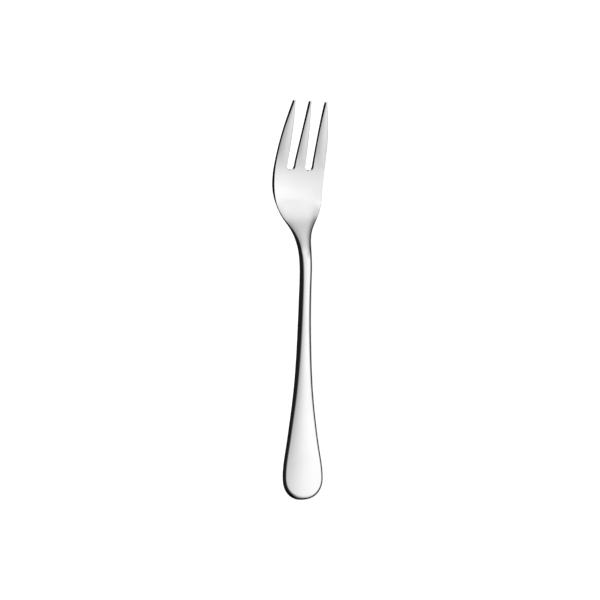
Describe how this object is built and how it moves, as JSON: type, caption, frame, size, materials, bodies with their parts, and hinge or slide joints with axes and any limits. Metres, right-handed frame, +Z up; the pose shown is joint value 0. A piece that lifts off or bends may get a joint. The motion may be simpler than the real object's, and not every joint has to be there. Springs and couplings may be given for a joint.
{
  "type": "cake fork",
  "caption": "Slim polished stainless-steel cake fork with a drop-shaped handle, raised neck, shallow bowl and straight pointed tines.",
  "frame": {"origin": "on the table, under the middle of the fork's length and width, as the fork lies with its hollow side up", "axes": "+Y from the handle's end towards the tips, +Z up, +X to the right with the tips pointing away"},
  "size_m": [0.0222, 0.15, 0.014],
  "materials": {
    "polished_steel": "mirror polished stainless steel"
  },
  "bodies": {
    "root": {"handle": "polished_steel", "neck": "polished_steel", "bowl": "polished_steel", "left_tine": "polished_steel", "middle_tine": "polished_steel", "right_tine": "polished_steel"}
  },
  "joints": []
}
